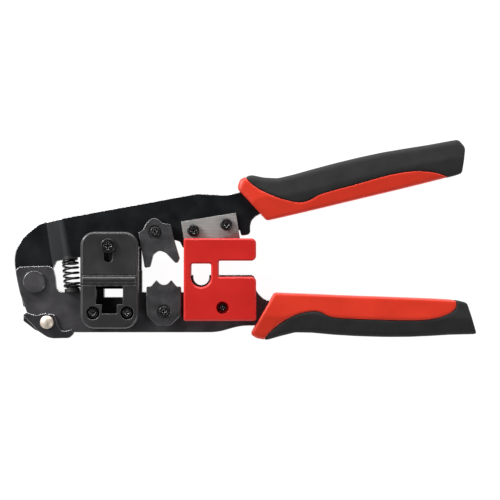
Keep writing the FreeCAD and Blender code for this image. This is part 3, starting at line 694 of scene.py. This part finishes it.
class CRIMPER_OT_spring(bpy.types.Operator):
    """The return spring, with a closed coil at each end"""

    bl_idname = "crimper.spring"
    bl_label = "Return spring"

    def execute(self, context):
        sizes = context.scene.crimper_sizes
        wire, turns = sizes.spring_wire, sizes.spring_turns
        length = (SPRING_HIGH - SPRING_LOW).length - SPRING_CLEARANCE
        open_rise = length - 3 * wire
        coil_runs = ((0.0, wire, 1), (wire, open_rise, turns), (wire + open_rise, wire, 1))
        coils = []
        for start, rise, count in coil_runs:
            bpy.ops.object.select_all(action="DESELECT")
            bpy.ops.mesh.primitive_circle_add(
                vertices=WIRE_SIDES, radius=wire / 2,
                location=((sizes.spring_width - wire) / 2, 0, start),
                rotation=(math.radians(90), 0, 0))
            coil = context.active_object
            bpy.ops.object.transform_apply(location=True, rotation=True, scale=True)
            steps = STEPS_PER_TURN * count
            apply_modifier(coil, "SCREW", axis="Z", angle=math.tau * count, screw_offset=rise,
                           steps=steps, render_steps=steps, use_merge_vertices=False)
            coils.append(coil)
        bpy.ops.object.select_all(action="DESELECT")
        for coil in coils:
            coil.select_set(True)
        spring = coils[0]
        context.view_layer.objects.active = spring
        bpy.ops.object.join()
        spring.name = spring.data.name = "return_coil"
        bpy.ops.object.mode_set(mode="EDIT")
        bpy.ops.mesh.select_all(action="SELECT")
        bpy.ops.mesh.remove_doubles(threshold=0.01 * MM)
        bpy.ops.mesh.select_all(action="DESELECT")
        bpy.ops.mesh.select_mode(type="EDGE")
        bpy.ops.mesh.select_non_manifold(extend=False)
        bpy.ops.mesh.fill()
        bpy.ops.mesh.select_all(action="SELECT")
        bpy.ops.mesh.normals_make_consistent(inside=False)
        bpy.ops.object.mode_set(mode="OBJECT")
        axis = (SPRING_HIGH - SPRING_LOW).normalized()
        stand = axis.to_track_quat("Z", "X").to_matrix().to_4x4()
        foot = SPRING_LOW + axis * (SPRING_CLEARANCE / 2 + wire / 2)
        spring.matrix_world = Matrix.Translation(foot) @ stand
        select_only(spring)
        bpy.ops.object.transform_apply(location=True, rotation=True, scale=True)
        smooth(spring, SMOOTH_WIRE)
        steel = tool_steel("spring_steel", (0.04, 0.04, 0.042), 0.3)
        spring.data.materials.append(steel)
        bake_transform(spring)
        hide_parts("return_spring")
        return {"FINISHED"}


def grip_body(inner, outer, crown):
    """Crowned grip through stations of inner and outer edge points, made by extruding a section."""
    sections = []
    for (x0, y0), (x1, y1) in zip(inner, outer):
        middle = ((x0 + x1) / 2 * MM, (y0 + y1) / 2 * MM)
        inside = (x0 * MM, y0 * MM)
        outside = (x1 * MM, y1 * MM)
        top = GRIP_THICKNESS
        sections.append([
            Vector((*inside, crown * 0.5)), Vector((*middle, 0)), Vector((*outside, crown)),
            Vector((*outside, top - crown)), Vector((*middle, top)),
            Vector((*inside, top - crown * 0.5))])
    body = add_section(sections[0])
    for section, following in zip(sections, sections[1:]):
        extrude_to(body, section, following)
    select_only(body)
    bpy.ops.object.mode_set(mode="EDIT")
    bpy.ops.mesh.select_all(action="SELECT")
    bpy.ops.mesh.normals_make_consistent(inside=False)
    bpy.ops.object.mode_set(mode="OBJECT")
    weights = body.data.attributes.new("bevel_weight_edge", "FLOAT", "EDGE").data
    heights = (crown, GRIP_THICKNESS - crown)
    for edge, weight in zip(body.data.edges, weights):
        ends = [body.data.vertices[index].co for index in edge.vertices]
        along = abs(ends[0].z - ends[1].z) < SAME_PLACE
        outer = along and any(abs(ends[0].z - height) < SAME_PLACE for height in heights)
        flat = along and any(abs(ends[0].z - height) < SAME_PLACE for height in (0, GRIP_THICKNESS))
        weight.value = 1.0 if outer else 0.0 if flat else 0.45
    apply_modifier(body, "BEVEL", width=GRIP_BEVEL, segments=5, limit_method="WEIGHT",
                   use_clamp_overlap=True)
    return body


def parting_side(parting, sweep):
    """Block swept outwards from the parting line, whose near face follows the line smoothly."""
    bpy.ops.object.select_all(action="DESELECT")
    low, high = -PARTING_MARGIN, GRIP_THICKNESS + PARTING_MARGIN
    bpy.ops.mesh.primitive_plane_add(size=MM)
    side = bpy.context.active_object
    corners = [Vector((x * MM, y * MM, height)) for x, y in parting[:2] for height in (low, high)]
    bpy.ops.object.mode_set(mode="EDIT")
    for at, point in zip([vertex.co.copy() for vertex in side.data.vertices], corners):
        pick_vertices(side, lambda place: near(place, at))
        bpy.ops.transform.translate(value=point - at)
    for (x0, y0), (x1, y1) in zip(parting[1:], parting[2:]):
        pick_vertices(side, lambda place: (abs(place.x - x0 * MM) < SAME_PLACE
                                           and abs(place.y - y0 * MM) < SAME_PLACE))
        step = ((x1 - x0) * MM, (y1 - y0) * MM, 0)
        bpy.ops.mesh.extrude_region_move(TRANSFORM_OT_translate={"value": step})
    bpy.ops.object.mode_set(mode="OBJECT")
    apply_modifier(side, "SUBSURF", levels=3, render_levels=3)
    bpy.ops.object.mode_set(mode="EDIT")
    bpy.ops.mesh.select_all(action="SELECT")
    bpy.ops.mesh.extrude_region_move(TRANSFORM_OT_translate={"value": sweep})
    bpy.ops.mesh.select_all(action="SELECT")
    bpy.ops.mesh.normals_make_consistent(inside=False)
    bpy.ops.object.mode_set(mode="OBJECT")
    return side


class CRIMPER_OT_grips(bpy.types.Operator):
    """The two-shot grips: a hard core and a soft overlay, parted along a moulded groove"""

    bl_idname = "crimper.grips"
    bl_label = "Grips"

    def execute(self, context):
        sizes, colours = context.scene.crimper_sizes, context.scene.crimper_colours
        red = moulded("grip_red", colours.grip_red, 0.42, 0.45 * MM, 0.02 * MM)
        black = soft_rubber("grip_rubber", colours.grip_black)
        for side, body, inner, outer, parting, sweep, turn in (
                ("upper", "upper_lever", UPPER_INNER, UPPER_OUTER, UPPER_PARTING,
                 (0, PARTING_SWEEP, 0), OPENING),
                ("lower", "lower_frame", LOWER_INNER, LOWER_OUTER, LOWER_PARTING,
                 (PARTING_SWEEP, -PARTING_SWEEP, 0), 0)):
            whole = grip_body(inner, outer, sizes.grip_crown)
            outside = parting_side(parting, sweep)
            for kind, operation, rounds, material, slot in (
                    ("core", "DIFFERENCE", CORE_ROUNDS, red, "grip_red"),
                    ("overlay", "INTERSECT", OVERLAY_ROUNDS, black, "grip_black")):
                piece = copy_piece(whole, side + "_grip_" + kind + "_piece")
                apply_modifier(piece, "BOOLEAN", operation=operation, object=outside, solver="EXACT")
                apply_modifier(piece, "REMESH", mode="VOXEL", voxel_size=sizes.grip_mesh,
                               use_smooth_shade=True)
                apply_modifier(piece, "SMOOTH", factor=0.5, iterations=rounds)
                piece.matrix_world = Matrix.Rotation(math.radians(turn), 4, "Z")
                select_only(piece)
                bpy.ops.object.transform_apply(location=True, rotation=True, scale=True)
                dress(piece, material)
                finish_piece(piece, body, slot, side + "_grip_" + kind)
            remove_piece(whole)
            remove_piece(outside)
        return {"FINISHED"}


# ---------------------------------------------------------------- stage
def area_light(name, at, aim, size, power):
    """Soft box of a width and height that points at a place."""
    light = bpy.data.lights.new(name, "AREA")
    light.shape = "RECTANGLE"
    light.size, light.size_y = size
    light.energy = power
    lamp = bpy.data.objects.new(name, light)
    bpy.context.scene.collection.objects.link(lamp)
    lamp.location = at
    lamp.rotation_euler = (Vector(aim) - Vector(at)).to_track_quat("-Z", "Y").to_euler()


class CRIMPER_OT_stage(bpy.types.Operator):
    """Floor, soft light and camera"""

    bl_idname = "crimper.stage"
    bl_label = "Stage"

    def execute(self, context):
        scene = context.scene
        middle = VIEW_MIDDLE
        bpy.ops.object.select_all(action="DESELECT")
        bpy.ops.mesh.primitive_plane_add(
            size=FLOOR_SIZE, location=(middle.x, middle.y, CAD_BOX[0][2] - FLOOR_GAP))
        floor = context.active_object
        floor.name = "floor"
        paper = Finish("floor_paper", roughness=0.9)
        paper.drive("Base Color", paper.colours(paper.noise(0.4), [
            (0.3, (0.17, 0.17, 0.17)), (0.7, (0.19, 0.19, 0.19))]))
        paper.set(Emission_Color=(1, 1, 1, 1), Emission_Strength=FLOOR_GLOW)
        floor.data.materials.append(paper.material)

        world = bpy.data.worlds.new("studio")
        scene.world = world
        world.use_nodes = True
        nodes, links = world.node_tree.nodes, world.node_tree.links
        background = nodes["Background"]
        direction = nodes.new("ShaderNodeTexCoord")
        split = nodes.new("ShaderNodeSeparateXYZ")
        ramp = nodes.new("ShaderNodeValToRGB")
        links.new(direction.outputs["Generated"], split.inputs["Vector"])
        links.new(split.outputs["Z"], ramp.inputs["Fac"])
        ramp.color_ramp.elements[0].position = 0.30
        ramp.color_ramp.elements[0].color = (0.8, 0.8, 0.8, 1)
        ramp.color_ramp.elements[1].position = 0.85
        ramp.color_ramp.elements[1].color = (0.03, 0.03, 0.033, 1)
        links.new(ramp.outputs["Color"], background.inputs["Color"])
        background.inputs["Strength"].default_value = 0.6

        area_light("key_light", (-0.95, 0.75, 0.42), middle, (0.45, 0.45), 16)
        area_light("top_strip", (0.10, 1.20, 0.30), middle, (1.6, 0.22), 15)
        area_light("left_soft", (-0.75, 0.10, 0.80), middle, (0.4, 0.4), 2.2)
        area_light("fill_light", (0.9, -0.6, 0.6), middle, (0.6, 0.6), 3.5)

        lens = bpy.data.cameras.new("camera")
        camera = bpy.data.objects.new("camera", lens)
        scene.collection.objects.link(camera)
        camera.location = middle + Vector((0, 0, VIEW_DISTANCE))
        lens.sensor_width = 36
        lens.lens = lens.sensor_width * VIEW_DISTANCE / VIEW_WIDTH
        lens.clip_start = 0.01
        scene.camera = camera
        scene.view_settings.view_transform = "Standard"
        return {"FINISHED"}


# ---------------------------------------------------------------- panel and registration
PIECES = (
    CRIMPER_OT_levers, CRIMPER_OT_pivot, CRIMPER_OT_latch, CRIMPER_OT_housing, CRIMPER_OT_dies,
    CRIMPER_OT_cutter, CRIMPER_OT_screws, CRIMPER_OT_spring, CRIMPER_OT_grips, CRIMPER_OT_stage,
)


class CRIMPER_PT_panel(bpy.types.Panel):
    """Crimping tool's pieces and settings"""

    bl_idname = "CRIMPER_PT_panel"
    bl_label = "Crimping Tool"
    bl_space_type = "VIEW_3D"
    bl_region_type = "UI"
    bl_category = "Crimping Tool"

    def draw(self, context):
        layout = self.layout
        for settings in (context.scene.crimper_sizes, context.scene.crimper_colours):
            box = layout.box()
            for name in settings.__annotations__:
                box.prop(settings, name)
        for piece in PIECES:
            layout.operator(piece.bl_idname)


CLASSES = (CrimperSizes, CrimperColours, *PIECES, CRIMPER_PT_panel)


def register():
    for cls in CLASSES:
        bpy.utils.register_class(cls)
    bpy.types.Scene.crimper_sizes = PointerProperty(type=CrimperSizes)
    bpy.types.Scene.crimper_colours = PointerProperty(type=CrimperColours)


def unregister():
    del bpy.types.Scene.crimper_sizes
    del bpy.types.Scene.crimper_colours
    for cls in reversed(CLASSES):
        bpy.utils.unregister_class(cls)


def main():
    """Build every piece and the stage."""
    register()
    for piece in PIECES:
        group, name = piece.bl_idname.split(".")
        getattr(getattr(bpy.ops, group), name)()


if __name__ == "__main__":
    main()
